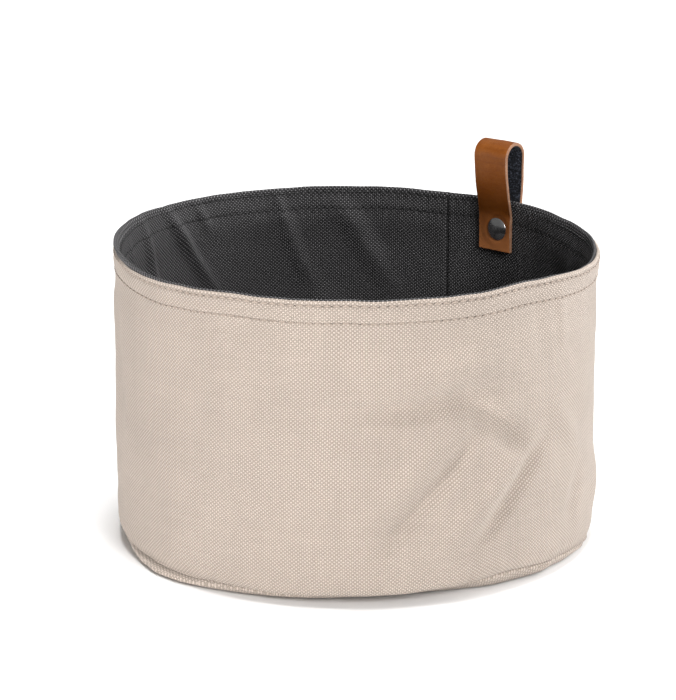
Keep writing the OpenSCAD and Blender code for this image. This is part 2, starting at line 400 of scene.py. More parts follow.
def face_outwards(piece):
    """Turns the faces round if the closed mesh is inside out."""
    mesh = piece.data
    mesh.calc_loop_triangles()
    triangles = np.zeros(len(mesh.loop_triangles) * 3, np.int32)
    mesh.loop_triangles.foreach_get("vertices", triangles)
    points = np.zeros(len(mesh.vertices) * 3)
    mesh.vertices.foreach_get("co", points)
    a, b, c = points.reshape(-1, 3)[triangles].reshape(-1, 3, 3).transpose(1, 0, 2)
    if np.sum(a * np.cross(b, c)) < 0:
        mesh.flip_normals()


def grid_faces(rows, columns, close_rows, start=0):
    """Quads of a grid whose columns close round the bin."""
    faces = []
    for i in range(rows if close_rows else rows - 1):
        below = start + i * columns
        above = start + (i + 1) % rows * columns
        for j in range(columns):
            after = (j + 1) % columns
            faces.append((below + j, below + after, above + after, above + j))
    return faces


STITCHES = round(2 * math.pi * RIM_R / PITCH)


def panel_columns():
    """Angles of the columns: four to a stitch, and close ones beside the side seam."""
    count = STITCHES * 4
    even = np.arange(count) * 2 * math.pi / count
    close = np.array([0.2, 0.45, 0.75]) * MM / RIM_R
    angles = np.concatenate([even, close, 2 * math.pi - close])
    return np.sort(angles)


COLUMNS = panel_columns()   # measured from the side seam
ROW_SINK = 0.14 * MM   # how deep a row of stitches lies in the cloth
HOLE_SINK = 0.50 * MM   # how much deeper its needle holes are
HEM_PUFF = 0.22 * MM   # how far the cloth swells between the two rows
VALLEY = 1.2 * MM   # how deep the side seam is
PROUD_EDGE = 0.25 * MM   # how far the cloth beside it stands up


def sewn_depth(turn, z):
    """How deep the topstitching pulls the visible face in."""
    hole = (0.5 + 0.5 * np.cos(STITCHES * turn)) ** 3
    depth = 0
    for row, pull in zip(ROWS, ROW_PULLS):
        depth = depth + ROW_SINK * pull * hump(z - row, 1.3 * MM)
        depth = depth + HOLE_SINK * pull * hole * hump(z - row, 0.9 * MM)
    puff = HEM_PUFF * hump(z - sum(ROWS) / 2, 4.2 * MM)
    return depth - puff * (0.8 + 0.2 * np.cos(STITCHES * turn))


def side_seam_depth(turn, z):
    """The side seam's narrow valley, and the step where one edge stands a little proud."""
    across = wrap(turn) * RIM_R
    valley = VALLEY * hump(across, 1.7 * MM)
    proud = PROUD_EDGE * hump(across + 2.4 * MM, 2.6 * MM)
    return (valley - proud) * ramp(z, 6 * MM, 16 * MM)


def edge_roll(phi, z):
    """How far the lining's folded edge is rolled over the outer one, at the very rim only."""
    roll = EVEN_ROLL + spread(phi, ROLLS) / MM
    return roll * ramp(z, RIM_Z - 4 * MM, RIM_Z - 0.5 * MM)


def wall_panel(name, line, visible_side, lining, material):
    """A cloth wall: a thin closed ribbon taken round the bin, fine on its visible face."""
    line = np.array(line)
    lengths = np.concatenate([[0], np.cumsum(np.linalg.norm(np.diff(line, axis=0), axis=1))])
    face = offset_line(line, visible_side * FABRIC / 2)
    back = offset_line(line, -visible_side * FABRIC / 2)
    # The hidden back takes every fifth row of the upright stretch
    on_wall = (line[:, 1] > LINING_CORNER_R + 6 * MM) & (line[:, 1] < RIM_Z - 3 * MM)
    thinned = [i for i in range(len(line)) if not on_wall[i] or i % 5 == 0]
    back_rows = thinned[::-1]
    rows = np.concatenate([face, back[back_rows]])
    up_cloth = np.concatenate([lengths, lengths[back_rows]])
    is_face = np.arange(len(rows)) < len(face)
    top = np.argmax(line[:, 1])
    outside = is_face & (np.arange(len(rows)) < top)

    turn = COLUMNS[None, :]
    phi = turn + SEAM_AT
    r = rows[:, 0:1] + 0 * turn
    z = rows[:, 1:2] + 0 * turn
    sewn = (sewn_depth(turn, z) + side_seam_depth(turn, z)) * outside[:, None]
    inward, roll_out, roll_up, drop = (1, 0.9, 0.9, 0.3 * MM) if lining else (-1, -0.1, -0.8, 0)
    roll = edge_roll(phi, z) * MM
    r = r + inward * sewn + roll_out * roll
    z = z + roll_up * roll - drop * ramp(z, RIM_Z - 4 * MM, RIM_Z)
    points = place(phi, r, z, lining)

    count = len(COLUMNS)
    piece = add_mesh(name, points, grid_faces(len(rows), count, True), material)
    # The four corners of every face: along the cloth, and up it
    along = np.append(COLUMNS, 2 * math.pi) * RIM_R
    corners = np.zeros((len(rows), count, 4, 3))
    corners[:, :, 0, 0] = along[:-1]
    corners[:, :, 3, 0] = along[:-1]
    corners[:, :, 1, 0] = along[1:]
    corners[:, :, 2, 0] = along[1:]
    above = np.append(up_cloth[1:], up_cloth[0])
    corners[:, :, 0:2, 1] = up_cloth[:, None, None]
    corners[:, :, 2:4, 1] = above[:, None, None]
    store_cloth_place(piece, corners)
    face_outwards(piece)
    return piece


def base_panel(name, line, visible_side, lining, material):
    """A cloth base: a round panel with its rim turned up at the seam."""
    line = np.array(line)
    face = offset_line(line, visible_side * FABRIC / 2)
    back = offset_line(line, -visible_side * FABRIC / 2)
    rows = np.concatenate([face[::-1], back])
    phi = COLUMNS[None, :] + SEAM_AT
    r = rows[:, 0:1] + 0 * phi
    z = rows[:, 1:2] + 0 * phi
    slack = 0.5 * MM * (0.5 + 0.5 * ripple(phi, r, 9, 60 * MM, 120 * MM))
    slack = slack * hump(r - 0.6 * RIM_R, 0.5 * RIM_R)
    points = place(phi, r, z, lining)
    points[..., 2] += np.clip(slack, 0, None)
    poles = [(0, 0, rows[0, 1]), (0, 0, rows[-1, 1])]
    count = len(COLUMNS)
    points = np.concatenate([points.reshape(-1, 3), np.array(poles)])
    faces = grid_faces(len(rows), count, False)
    first_pole = len(points) - 2
    last_row = (len(rows) - 1) * count
    for j in range(count):
        after = (j + 1) % count
        faces.append((first_pole, after, j))
        faces.append((first_pole + 1, last_row + j, last_row + after))
    piece = add_mesh(name, points, faces, material)
    # Its place on the cloth is its plan, shifted to stay above 0
    corner_points = points[[v for f in faces for v in f]]
    store_cloth_place(piece, corner_points * [1, 1, 0] + [0.3, 0.3, 0])
    face_outwards(piece)
    return piece


STITCH_REACH = 0.46   # half a stitch's length, as a share of the pitch
DIVE = -0.42   # how high the thread's middle is at a stitch's ends, in mm from the cloth's face
ARCH = 0.56   # how much higher it is halfway, in mm
UNEVEN_REACH = 0.02   # random change per stitch: of its reach,
UNEVEN_TILT = 0.10 * MM   # of its slant,
UNEVEN_SIT = 0.05 * MM   # and of its height


def stitch_row(name, row, r, inward, lining, seed, material):
    """A row of topstitches: short arched threads that dive into the cloth at both ends."""
    draw = np.random.default_rng(seed)
    rings, sides = 9, 8
    number = np.arange(STITCHES)[:, None, None]
    share = np.linspace(0, 1, rings)[None, :, None]
    around = (np.arange(sides) * 2 * math.pi / sides)[None, None, :]
    reach = STITCH_REACH + UNEVEN_REACH * draw.uniform(-1, 1, (STITCHES, 1, 1))
    tilt = UNEVEN_TILT * draw.uniform(-1, 1, (STITCHES, 1, 1))
    sit = UNEVEN_SIT * draw.uniform(-1, 1, (STITCHES, 1, 1))
    turn = (number + 0.5 + (share - 0.5) * 2 * reach) * 2 * math.pi / STITCHES
    height = (DIVE + ARCH * np.sin(math.pi * share) ** 0.55) * MM + sit
    thread = THREAD_R * (0.72 + 0.28 * np.sin(math.pi * share) ** 0.5)
    outward = height + thread * np.cos(around)
    z = row + tilt * (share - 0.5) * 2 + thread * np.sin(around)
    points = place(turn + SEAM_AT + 0 * around, r - inward * outward, z, lining)

    faces = []
    for k in range(STITCHES):
        start = k * rings * sides
        faces += grid_faces(rings, sides, False, start)
        faces.append(tuple(start + s for s in range(sides - 1, -1, -1)))
        faces.append(tuple(start + (rings - 1) * sides + s for s in range(sides)))
    piece = add_mesh(name, points, faces, material)
    along = turn * RIM_R + 0 * around
    on_thread = np.stack([along, around * THREAD_R + 0 * turn, 0 * along], -1).reshape(-1, 3)
    store_cloth_place(piece, on_thread[[v for f in faces for v in f]])
    face_outwards(piece)
    return piece


def tube(name, centres, radius, closed, material, sides=8):
    """A thread along given points, thin and round."""
    centres = np.array(centres)
    ahead = np.roll(centres, -1, 0) - np.roll(centres, 1, 0) if closed else np.gradient(centres, axis=0)
    ahead = ahead / np.linalg.norm(ahead, axis=1, keepdims=True)
    beside = np.cross(ahead, [0.0, 0.0, 1.0] if closed else [RIGHT.x, RIGHT.y, 0.0])
    beside = beside / np.linalg.norm(beside, axis=1, keepdims=True)
    above = np.cross(beside, ahead)
    around = np.arange(sides) * 2 * math.pi / sides
    ring = np.cos(around)[None, :, None] * beside[:, None] + np.sin(around)[None, :, None] * above[:, None]
    points = centres[:, None] + radius * ring
    faces = grid_faces(len(centres), sides, closed)
    if not closed:
        last = (len(centres) - 1) * sides
        faces.append(tuple(range(sides - 1, -1, -1)))
        faces.append(tuple(last + s for s in range(sides)))
    piece = add_mesh(name, points, faces, material)
    lengths = np.cumsum(np.append(0, np.linalg.norm(np.diff(centres, axis=0), axis=1)))
    on_thread = np.stack(np.broadcast_arrays(lengths[:, None], radius * around[None, :], 0.0), -1)
    store_cloth_place(piece, on_thread.reshape(-1, 3)[[v for f in faces for v in f]])
    face_outwards(piece)
    return piece


# --- materials ---
def add_node(tree, kind, inputs=None, **settings):
    node = tree.nodes.new(kind)
    for name, value in settings.items():
        setattr(node, name, value)
    for name, value in (inputs or {}).items():
        if isinstance(value, bpy.types.NodeSocket):
            tree.links.new(value, node.inputs[name])
        else:
            node.inputs[name].default_value = value
    return node


def calc(tree, operation, *values):
    return add_node(tree, "ShaderNodeMath", dict(enumerate(values)), operation=operation).outputs[0]


def mix_colour(tree, share, first, second, blend="MIX"):
    node = add_node(tree, "ShaderNodeMix", data_type="RGBA", blend_type=blend)
    for socket, value in ((node.inputs[0], share), (node.inputs[6], first), (node.inputs[7], second)):
        if isinstance(value, bpy.types.NodeSocket):
            tree.links.new(value, socket)
        else:
            socket.default_value = value
    return node.outputs[2]


def grade(tree, value, low, high, out_low=0.0, out_high=1.0):
    inputs = {"Value": value, 1: low, 2: high, 3: out_low, 4: out_high}
    return add_node(tree, "ShaderNodeMapRange", inputs).outputs[0]


def noise(tree, vector, scale, detail=2.0, roughness=0.5):
    inputs = {"Vector": vector, "Scale": scale, "Detail": detail, "Roughness": roughness}
    return add_node(tree, "ShaderNodeTexNoise", inputs).outputs[0]


def object_place(tree):
    return add_node(tree, "ShaderNodeTexCoord").outputs["Object"]


def grey(level):
    return (level, level, level, 1)


def new_material(name, **shader):
    material = bpy.data.materials.new(name)
    material.use_nodes = True
    tree = material.node_tree
    surface = tree.nodes["Principled BSDF"]
    for socket, value in shader.items():
        surface.inputs[socket.replace("_", " ")].default_value = value
    return material, tree, surface


def link_looks(tree, surface, colour, height, distance, roughness=None):
    bump = add_node(tree, "ShaderNodeBump", {"Height": height, "Distance": distance, "Strength": 1.0})
    tree.links.new(colour, surface.inputs["Base Color"])
    tree.links.new(bump.outputs[0], surface.inputs["Normal"])
    if roughness:
        tree.links.new(roughness, surface.inputs["Roughness"])


YARN_DRIFT = 1.6   # how far the yarns wander, in yarns
WANDER_SCALE = 24.0


def weave_material(name, warp, shaded_weft, gap, relief, smooth, **shader):
    """A heavy plain weave: yarns that pass over and under each other, uneven in width and tone, with
    painted shade on the yarns that lie across and in the gaps between yarns.

    relief is the depth of the yarns' relief, and smooth the roughness of their crowns.
    """
    material, tree, surface = new_material(name, **shader)
    cloth = add_node(tree, "ShaderNodeAttribute", attribute_name="cloth").outputs["Vector"]
    slow_noise = {"Vector": cloth, "Scale": WANDER_SCALE, "Detail": 1.0}
    wander = add_node(tree, "ShaderNodeTexNoise", slow_noise).outputs["Color"]
    parts = add_node(tree, "ShaderNodeSeparateXYZ", {0: cloth}).outputs
    sway = add_node(tree, "ShaderNodeSeparateXYZ", {0: wander}).outputs

    def count_yarns(length, pitch, drift):
        drift = calc(tree, "MULTIPLY", drift, YARN_DRIFT)
        return calc(tree, "ADD", calc(tree, "DIVIDE", length, pitch), drift)

    def rounded(yarns_along):
        return calc(tree, "ABSOLUTE", calc(tree, "SINE", calc(tree, "MULTIPLY", yarns_along, math.pi)))

    across = count_yarns(parts[0], WARP_PITCH, sway[0])
    up = count_yarns(parts[1], WEFT_PITCH, sway[1])
    warp_number = calc(tree, "FLOOR", across)
    weft_number = calc(tree, "FLOOR", up)
    warp_round = rounded(across)
    weft_round = rounded(up)
    warp_on_top = calc(tree, "FLOORED_MODULO", calc(tree, "ADD", warp_number, weft_number), 2.0)

    def yarn_height(section, arch):
        rise = calc(tree, "MULTIPLY_ADD", arch, 0.55, 0.45)
        return calc(tree, "MULTIPLY", calc(tree, "POWER", section, 0.7), rise)

    warp_height = yarn_height(warp_round, weft_round)
    weft_height = calc(tree, "MULTIPLY", yarn_height(weft_round, warp_round), 0.55)
    difference = calc(tree, "SUBTRACT", warp_height, weft_height)
    height = calc(tree, "MULTIPLY_ADD", difference, warp_on_top, weft_height)

    fine_across = calc(tree, "MULTIPLY", across, 4.0)
    yarn_place = add_node(tree, "ShaderNodeCombineXYZ", {0: fine_across, 1: up}).outputs[0]
    fibres = noise(tree, yarn_place, 2.2, 3.0, 0.7)
    fuzz = noise(tree, cloth, 2600.0, 2.0)
    lumps = calc(tree, "MULTIPLY_ADD", fibres, 0.14, calc(tree, "MULTIPLY", fuzz, 0.06))
    relief_height = calc(tree, "ADD", height, lumps)

    def yarn_tone(number, offset):
        place_in_noise = {"W": calc(tree, "ADD", number, offset)}
        return add_node(tree, "ShaderNodeTexWhiteNoise", place_in_noise, noise_dimensions="1D").outputs[0]

    yarns = calc(tree, "ADD", yarn_tone(warp_number, 3.3), yarn_tone(weft_number, 51.7))
    blotch = noise(tree, cloth, 34.0, 3.0, 0.6)
    yarn_change = grade(tree, yarns, 0.0, 2.0, -0.03, 0.03)
    tone = calc(tree, "ADD", yarn_change, grade(tree, blotch, 0.3, 0.7, 0.95, 1.03))
    # The yarns that lie across take a darker copy of the yarn colour: painted shade
    thread_colour = mix_colour(tree, warp_on_top, shaded_weft, warp)
    thread_colour = mix_colour(tree, grade(tree, fuzz, 0.35, 0.75, 0.0, 0.25), thread_colour, shaded_weft)
    # Darker where the relief is low, in the gaps between yarns: painted shade
    colour = mix_colour(tree, grade(tree, height, 0.05, 0.6), gap, thread_colour)
    colour = mix_colour(tree, 1.0, colour, tone, "MULTIPLY")
    link_looks(tree, surface, colour, relief_height, relief, grade(tree, height, 0.15, 0.65, 1.0, smooth))
    return material


def thread_material(name, light, dark, hole, **shader):
    """Twisted sewing thread: two plies that wind round each other, with painted shade in the grooves
    between them, and darker where they enter the cloth, which is painted shade too.
    """
    material, tree, surface = new_material(name, **shader)
    along = add_node(tree, "ShaderNodeAttribute", attribute_name="cloth").outputs["Vector"]
    parts = add_node(tree, "ShaderNodeSeparateXYZ", {0: along}).outputs
    along_ply = calc(tree, "MULTIPLY", parts[0], 4200.0)
    twist = calc(tree, "ADD", along_ply, calc(tree, "MULTIPLY", parts[1], 7400.0))
    ply = calc(tree, "ABSOLUTE", calc(tree, "SINE", twist))
    hair = noise(tree, along, 5000.0, 2.0)
    height = calc(tree, "MULTIPLY_ADD", hair, 0.35, ply)
    # Darker in the grooves between the plies: painted shade
    colour = mix_colour(tree, grade(tree, height, 0.1, 1.1), dark, light)
    half_turns = calc(tree, "MULTIPLY", parts[0], STITCHES / (2 * RIM_R))
    from_hole = calc(tree, "ABSOLUTE", calc(tree, "SINE", half_turns))
    # Near black towards each needle hole, where the thread dives into the cloth: painted shade
    colour = mix_colour(tree, grade(tree, from_hole, 0.15, 0.7, 0.85, 0.0), colour, hole)
    link_looks(tree, surface, colour, height, 0.08 * MM)
    return material


def leather_grain(name):
    """Tan top grain: fine pebbling, creases with painted shade, bend lines, a darker, redder patch of
    painted shade at the rim and a pale lower end that is a painted sheen.
    """
    deep_tan = (0.175, 0.042, 0.000, 1)
    bright_tan = (0.240, 0.075, 0.010, 1)
    crease_shade_brown = (0.08, 0.018, 0.003, 1)
    rubbed_tan = (0.34, 0.120, 0.030, 1)
    bend_brown = (0.100, 0.022, 0.002, 1)
    painted_shade_red = (0.170, 0.036, 0.000, 1)
    painted_sheen_tan = (0.66, 0.245, 0.085, 1)
    material, tree, surface = new_material(name, Roughness=0.42, Specular_IOR_Level=0.22)
    here = object_place(tree)
    grain_size = {"Vector": here, "Scale": 1500.0}
    cells = add_node(tree, "ShaderNodeTexVoronoi", grain_size, feature="DISTANCE_TO_EDGE").outputs[0]
    creases = grade(tree, cells, 0.0, 0.14)
    wrinkle = noise(tree, here, 420.0, 4.0, 0.6)
    pores = noise(tree, here, 2300.0, 2.0)
    mottle = noise(tree, here, 75.0, 4.0, 0.6)
    height = calc(tree, "ADD", calc(tree, "MULTIPLY", creases, 0.35), calc(tree, "MULTIPLY", wrinkle, 0.9))
    height = calc(tree, "MULTIPLY_ADD", pores, 0.25, height)
    stretch = {0: here, 1: (0.22, 1.0, 1.5)}
    drawn_out = add_node(tree, "ShaderNodeVectorMath", stretch, operation="MULTIPLY").outputs[0]
    bend_lines = noise(tree, drawn_out, 380.0, 3.0, 0.6)
    height = calc(tree, "MULTIPLY_ADD", bend_lines, 1.1, height)
    colour = mix_colour(tree, grade(tree, mottle, 0.3, 0.7), deep_tan, bright_tan)
    # Darker in the grain's creases: painted shade
    colour = mix_colour(tree, grade(tree, creases, 0.0, 1.0, 0.35, 0.0), colour, crease_shade_brown)
    colour = mix_colour(tree, grade(tree, wrinkle, 0.55, 0.8, 0.0, 0.35), colour, rubbed_tan)
    colour = mix_colour(tree, grade(tree, bend_lines, 0.52, 0.72, 0.0, 0.35), colour, bend_brown)
    height_above = add_node(tree, "ShaderNodeSeparateXYZ", {0: here}).outputs[2]
    # A darker, redder band where the strap bends over the rim: painted shade
    from_rim = calc(tree, "ABSOLUTE", calc(tree, "SUBTRACT", height_above, RIM_Z + 3 * MM))
    from_rim = calc(tree, "MULTIPLY_ADD", wrinkle, 6 * MM, from_rim)
    colour = mix_colour(tree, grade(tree, from_rim, 5 * MM, 18 * MM, 0.25, 0.0), colour, painted_shade_red)
    # The lower legs turn paler: a painted sheen, where the lower strap catches the light
    painted_sheen_share = grade(tree, height_above, RIM_Z - 30 * MM, RIM_Z - 6 * MM, 0.9, 0.0)
    colour = mix_colour(tree, painted_sheen_share, colour, painted_sheen_tan)
    roughness = grade(tree, wrinkle, 0.3, 0.75, 0.36, 0.54)
    link_looks(tree, surface, colour, height, 0.10 * MM, roughness)
    return material


def leather_edge(name):
    """The cut edge: pale fibres in layers."""
    dark_fibre = (0.20, 0.085, 0.042, 1)
    pale_fibre = (0.46, 0.27, 0.17, 1)
    brown_patch = (0.16, 0.06, 0.03, 1)
    material, tree, surface = new_material(name, Roughness=0.8, Specular_IOR_Level=0.3)
    here = object_place(tree)
    fibre = noise(tree, here, 2200.0, 3.0, 0.7)
    patch = noise(tree, here, 260.0, 2.0)
    colour = mix_colour(tree, grade(tree, fibre, 0.3, 0.7), dark_fibre, pale_fibre)
    colour = mix_colour(tree, grade(tree, patch, 0.35, 0.7, 0.0, 0.4), colour, brown_patch)
    link_looks(tree, surface, colour, fibre, 0.12 * MM)
    return material


def leather_flesh(name):
    """The flesh side: a dark napped suede with pale specks."""
    deep_nap = (0.005, 0.0055, 0.007, 1)
    dark_nap = (0.018, 0.020, 0.026, 1)
    pale_speck = (0.15, 0.17, 0.225, 1)
    material, tree, surface = new_material(
        name, Roughness=0.95, Specular_IOR_Level=0.1, Sheen_Weight=0.12, Sheen_Roughness=0.5)
    here = object_place(tree)
    nap = noise(tree, here, 1000.0, 4.0, 0.8)
    patch = noise(tree, here, 240.0, 3.0, 0.6)
    colour = mix_colour(tree, grade(tree, patch, 0.3, 0.7), deep_nap, dark_nap)
    colour = mix_colour(tree, grade(tree, nap, 0.52, 0.64, 0.0, 0.9), colour, pale_speck)
    link_looks(tree, surface, colour, nap, 0.25 * MM)
    return material


def rivet_metal(name):
    """Polished gunmetal plating with faint scuffs."""
    material, tree, surface = new_material(name, Metallic=1.0)
    here = object_place(tree)
    scuffs = noise(tree, here, 900.0, 4.0, 0.7)
    cloud = noise(tree, here, 160.0, 2.0)
    colour = mix_colour(tree, grade(tree, cloud, 0.3, 0.7), grey(0.50), (0.68, 0.675, 0.665, 1))
    link_looks(tree, surface, colour, scuffs, 0.012 * MM, grade(tree, scuffs, 0.35, 0.7, 0.17, 0.28))
    return material


def floor_material(name):
    """Plain pale paper."""
    material, tree, surface = new_material(name, Roughness=0.9, Specular_IOR_Level=0.1)
    here = object_place(tree)
    grain = noise(tree, here, 900.0, 2.0)
    colour = mix_colour(tree, grade(tree, grain, 0.3, 0.7), grey(0.90), grey(0.92))
    link_looks(tree, surface, colour, grain, 0.01 * MM)
    return material


# The colours of the yarns that lie across are the upright yarns' colours darkened as painted shade, and
# each gap colour is painted shade between the yarns
beige_weave = weave_material(
    "beige_weave",
    warp=(0.620, 0.525, 0.458, 1), shaded_weft=(0.405, 0.337, 0.286, 1), gap=(0.30, 0.248, 0.203, 1),
    relief=0.5 * MM, smooth=0.8,
    Specular_IOR_Level=0.3, Sheen_Weight=0.15, Sheen_Roughness=0.5)
charcoal_weave = weave_material(
    "charcoal_weave",
    warp=(0.170, 0.163, 0.169, 1), shaded_weft=(0.014, 0.0125, 0.014, 1), gap=grey(0.002),
    relief=0.8 * MM, smooth=0.5,
    Specular_IOR_Level=0.6)
# Each hole colour is painted shade where the thread enters the cloth, and each dark colour is painted
# shade between the plies
beige_thread = thread_material(
    "beige_thread",
    light=(0.52, 0.42, 0.35, 1), dark=(0.27, 0.20, 0.155, 1), hole=(0.03, 0.022, 0.017, 1),
    Roughness=0.7, Sheen_Weight=0.2)
charcoal_thread = thread_material(
    "charcoal_thread",
    light=(0.020, 0.019, 0.020, 1), dark=grey(0.006), hole=grey(0.001),
    Roughness=0.65)


# --- the cloth panels ---
outer_wall = wall_panel("outer_wall_panel", outer_wall_line(), -1, False, beige_weave)
outer_base = base_panel("outer_base_panel", outer_base_line(), 1, False, beige_weave)
lining_wall = wall_panel("lining_wall_panel", lining_wall_line(), 1, True, charcoal_weave)
lining_base = base_panel("lining_base_panel", lining_base_line(), -1, True, charcoal_weave)

PANELS = [
    (outer_wall, "outer_wall", "outer_fabric"),
    (outer_base, "outer_base", "outer_fabric"),
    (lining_wall, "lining_wall", "lining_fabric"),
    (lining_base, "lining_base", "lining_fabric"),
]
for piece, node, slot in PANELS:
    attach(piece, "bin")
    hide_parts(node)

# --- the stitching ---
STITCHING = [
    ("upper_thread_outside", "outer_thread", ROWS[0], RIM_R, -1, False, 11, beige_thread),
    ("lower_thread_outside", "outer_thread", ROWS[1], RIM_R, -1, False, 12, beige_thread),
    ("upper_thread_inside", "lining_thread", ROWS[0], INNER_R, 1, True, 13, charcoal_thread),
    ("lower_thread_inside", "lining_thread", ROWS[1], INNER_R, 1, True, 14, charcoal_thread),
]
for node, slot, row, r, inward, lining, seed, material in STITCHING:
    piece = stitch_row(node.replace("thread", "stitches"), row, r, inward, lining, seed, material)
    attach(piece, "bin")
    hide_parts(node)


HIDDEN_THREAD_R = 0.2 * MM
SIDE_POINTS = 40   # up a side seam
BASE_POINTS = 350   # round a base seam


def side_seam_centres(node, lining):
    """Up the side seam, between the two walls."""
    low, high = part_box(node)
    r = math.hypot(middle(node).x, middle(node).y)
    heights = np.linspace(low.z, high.z, SIDE_POINTS)
    return place(np.zeros(SIDE_POINTS) + SEAM_AT, r, heights, lining)


def base_seam_centres(node, lining):
    """Round the base seam, a little inside the thread of the CAD part, out of sight."""
    turns = np.linspace(0, 2 * math.pi, BASE_POINTS, endpoint=False)
    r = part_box(node)[1].x - THREAD_R - 0.7 * MM
    return place(turns, r, middle(node).z + 0 * turns, lining)


HIDDEN_SEAMS = [
    ("outer_side_seam_thread", "outer_thread", side_seam_centres, False, beige_thread),
    ("lining_side_seam_thread", "lining_thread", side_seam_centres, True, charcoal_thread),
    ("outer_base_seam_thread", "outer_thread", base_seam_centres, False, beige_thread),
    ("lining_base_seam_thread", "lining_thread", base_seam_centres, True, charcoal_thread),
]
for node, slot, seam_centres, lining, material in HIDDEN_SEAMS:
    centres = seam_centres(node, lining)
    closed = seam_centres is base_seam_centres
    piece = tube(node.replace("thread", "stitching"), centres, HIDDEN_THREAD_R, closed, material)
    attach(piece, "bin")
    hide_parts(node)

# --- the leather loop ---
LEATHER = 1.8 * MM
CAP_GAP = 0.1 * MM
SOFT_EDGE = 0.45 * MM   # radius of the strap's long edges and of its cut ends
# Slow waves of the grain side, in mm: (size, length along the strap, length across it)
LEATHER_WAVES = [(0.10, 9, 6), (0.05, 3.1, -4)]
GRAIN, CUT_EDGE, FLESH = 0, 1, 2   # material numbers
strap_low, strap_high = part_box("leather_loop")
post_low, post_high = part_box("rivet_post_cap")
socket_low, socket_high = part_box("rivet_socket_cap")
CAP_R = (post_high.x - post_low.x) / 2
CAP_H = socket_high.y - socket_low.y
RIVET_Z = middle("rivet_post_cap").z
CAP_IN_Y = post_low.y + CAP_H
CAP_OUT_Y = socket_low.y
STRAP_W = strap_high.x - strap_low.x
STRAP_X = (strap_high.x + strap_low.x) / 2


def strap_line():
    """Centre line of the strap in (y, z): up the inner leg, over the bend, down the outer leg."""
    inner = CAP_IN_Y + CAP_GAP + LEATHER / 2
    outer = CAP_OUT_Y - CAP_GAP - LEATHER / 2
    low_y = strap_low.y + LEATHER / 2
    high_y = strap_high.y - LEATHER / 2
    bend_r = (high_y - low_y) / 2
    bend_centre = ((low_y + high_y) / 2, strap_high.z - LEATHER / 2 - bend_r)
    lean_from = RIM_Z - 9 * MM
    steps = 48

    def leg(y, lean, ease):
        points = []
        for i in range(steps):
            share = i / steps
            rise = math.sin(math.pi / 2 * share) ** ease
            points.append(np.array([y + lean * rise, lean_from + share * (bend_centre[1] - lean_from)]))
        return points

    foot = [0, 0.15, 0.45, 1.0]
    start = [np.array([inner, strap_low.z + d * MM]) for d in foot]
    line = start + straight(start[-1], np.array([inner, lean_from]), 0.6 * MM)[:-1]
    line += leg(inner, low_y - inner, 1.1)
    line += arc(bend_centre, bend_r, math.pi, 0, 52)
    outer_leg = [np.array([outer, strap_low.z + d * MM]) for d in foot]
    outer_leg += straight(outer_leg[-1], np.array([outer, lean_from]), 0.6 * MM)[:-1]
    outer_leg += leg(outer, high_y - outer, 0.8)
    return np.array(line + outer_leg[::-1])


def strap_section():
    """One section of the strap: (place across, place through the thickness, material number)."""
    half_w = STRAP_W / 2
    half_t = LEATHER / 2
    soft = SOFT_EDGE
    upper = arc((half_w - soft, half_t - soft), soft, math.pi / 2, 0, 4)[1:]
    edge = upper + [(half_w, 0)] + [(x, -t) for x, t in reversed(upper)]
    grain = [(x, half_t, GRAIN) for x in np.linspace(-half_w + soft, half_w - soft, 40)]
    flesh = [(x, -half_t, FLESH) for x in np.linspace(half_w - soft, -half_w + soft, 24)]
    right_edge = [(x, t, CUT_EDGE) for x, t in edge]
    left_edge = [(-x, -t, CUT_EDGE) for x, t in edge]
    return grain + right_edge + flesh + left_edge


